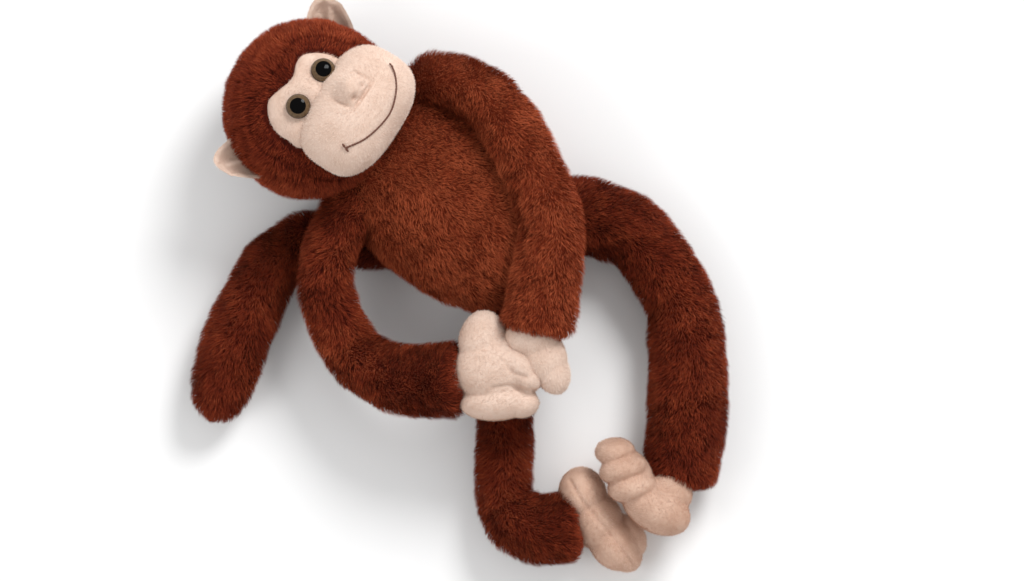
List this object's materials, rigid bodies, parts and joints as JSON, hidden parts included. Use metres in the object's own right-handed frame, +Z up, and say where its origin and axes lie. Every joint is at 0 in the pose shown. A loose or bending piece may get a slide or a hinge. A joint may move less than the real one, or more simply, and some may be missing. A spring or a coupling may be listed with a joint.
{
  "type": "stuffed monkey",
  "caption": "Long-limbed plush monkey lying on its back with cream face, hands and feet clasped, and a thick tail; head, limbs and tail bend at soft joints.",
  "frame": {"origin": "on the surface it lies on, in the middle of the flat of its back", "axes": "+Z up out of the chest, +Y towards the head end and +X towards its left leg, so the body runs 32 degrees below +X"},
  "size_m": [0.3366, 0.3596, 0.1264],
  "materials": {
    "russet_plush": "long-pile plush",
    "cream_plush": "short-pile velboa",
    "filling": "loose polyester fibre",
    "eye": "polished",
    "washer": "moulded",
    "thread": "embroidery thread"
  },
  "bodies": {
    "torso": {"torso_skin": "russet_plush", "torso_stuffing": "filling", "tail_root_skin": "russet_plush", "tail_root_stuffing": "filling"},
    "neck": {"neck_stuffing": "filling"},
    "head": {"head_skin": "russet_plush", "head_stuffing": "filling", "face_patch": "cream_plush", "muzzle_skin": "cream_plush", "muzzle_stuffing": "filling", "right_eye": "eye", "left_eye": "eye", "right_eye_washer": "washer", "left_eye_washer": "washer", "right_ear": "cream_plush", "left_ear": "cream_plush", "mouth_thread": "thread"},
    "right_upper_arm": {"right_upper_arm_skin": "russet_plush", "right_upper_arm_stuffing": "filling"},
    "right_forearm": {"right_forearm_skin": "russet_plush", "right_forearm_stuffing": "filling"},
    "right_hand": {"right_hand_skin": "cream_plush", "right_hand_stuffing": "filling"},
    "left_upper_arm": {"left_upper_arm_skin": "russet_plush", "left_upper_arm_stuffing": "filling"},
    "left_forearm": {"left_forearm_skin": "russet_plush", "left_forearm_stuffing": "filling"},
    "left_hand": {"left_hand_skin": "cream_plush", "left_hand_stuffing": "filling"},
    "right_thigh": {"right_thigh_skin": "russet_plush", "right_thigh_stuffing": "filling"},
    "right_shin": {"right_shin_skin": "russet_plush", "right_shin_stuffing": "filling"},
    "right_foot": {"right_foot_skin": "cream_plush", "right_foot_stuffing": "filling"},
    "left_thigh": {"left_thigh_skin": "russet_plush", "left_thigh_stuffing": "filling"},
    "left_shin": {"left_shin_skin": "russet_plush", "left_shin_stuffing": "filling"},
    "left_foot": {"left_foot_skin": "cream_plush", "left_foot_stuffing": "filling"},
    "tail_middle": {"tail_middle_skin": "russet_plush", "tail_middle_stuffing": "filling"},
    "tail_tip": {"tail_tip_skin": "russet_plush", "tail_tip_stuffing": "filling"}
  },
  "joints": [
    {"name": "head_turn", "type": "hinge", "parent": "torso", "child": "neck", "pos_m": [-0.089, 0.056, 0.0576], "axis": [-0.848, 0.5299, 0], "range_deg": [-30, 10]},
    {"name": "head_nod", "type": "hinge", "parent": "neck", "child": "head", "pos_m": [-0.089, 0.056, 0.0576], "axis": [-0.5198, -0.8319, 0.1942], "range_deg": [0, 20]},
    {"name": "right_shoulder_lift", "type": "hinge", "parent": "torso", "child": "right_upper_arm", "pos_m": [-0.072, -0.018, 0.053], "axis": [-0.6606, -0.7507, 0], "range_deg": [0, 45]},
    {"name": "right_elbow", "type": "hinge", "parent": "right_upper_arm", "child": "right_forearm", "pos_m": [-0.069, -0.087, 0.042], "axis": [0, 0, 1], "range_deg": [-45, 0]},
    {"name": "right_wrist", "type": "hinge", "parent": "right_forearm", "child": "right_hand", "pos_m": [-0.002, -0.112, 0.066], "axis": [0, -1, 0], "range_deg": [0, 25]},
    {"name": "left_shoulder_swing", "type": "hinge", "parent": "torso", "child": "left_upper_arm", "pos_m": [-0.014, 0.075, 0.054], "axis": [0, 0, 1], "range_deg": [0, 30]},
    {"name": "left_elbow", "type": "hinge", "parent": "left_upper_arm", "child": "left_forearm", "pos_m": [0.058, -0.007, 0.0805], "axis": [0, 0, 1], "range_deg": [0, 40]},
    {"name": "left_wrist", "type": "hinge", "parent": "left_forearm", "child": "left_hand", "pos_m": [0.052, -0.076, 0.081], "axis": [0, 0, 1], "range_deg": [0, 25]},
    {"name": "right_hip_swing", "type": "hinge", "parent": "torso", "child": "right_thigh", "pos_m": [0.031, -0.056, 0.024], "axis": [0, 0, 1], "range_deg": [-10, 0]},
    {"name": "right_knee", "type": "hinge", "parent": "right_thigh", "child": "right_shin", "pos_m": [0.031, -0.184, 0.021], "axis": [0, 0, 1], "range_deg": [-50, 0]},
    {"name": "right_ankle", "type": "hinge", "parent": "right_shin", "child": "right_foot", "pos_m": [0.07, -0.206, 0.025], "axis": [0, 0, 1], "range_deg": [-25, 0]},
    {"name": "left_hip_swing", "type": "hinge", "parent": "torso", "child": "left_thigh", "pos_m": [0.078, -0.009, 0.026], "axis": [0, 0, 1], "range_deg": [0, 30]},
    {"name": "left_knee", "type": "hinge", "parent": "left_thigh", "child": "left_shin", "pos_m": [0.14, -0.06, 0.0245], "axis": [0, 0, 1], "range_deg": [0, 45]},
    {"name": "left_ankle", "type": "hinge", "parent": "left_shin", "child": "left_foot", "pos_m": [0.142, -0.172, 0.027], "axis": [0.7071, 0.7071, 0], "range_deg": [0, 25]},
    {"name": "tail_base", "type": "hinge", "parent": "torso", "child": "tail_middle", "pos_m": [-0.092, -0.022, 0.018], "axis": [0, 0, 1], "range_deg": [-30, 0]},
    {"name": "tail_middle_bend", "type": "hinge", "parent": "tail_middle", "child": "tail_tip", "pos_m": [-0.132, -0.072, 0.0235], "axis": [0, 0, 1], "range_deg": [-35, 25]}
  ]
}
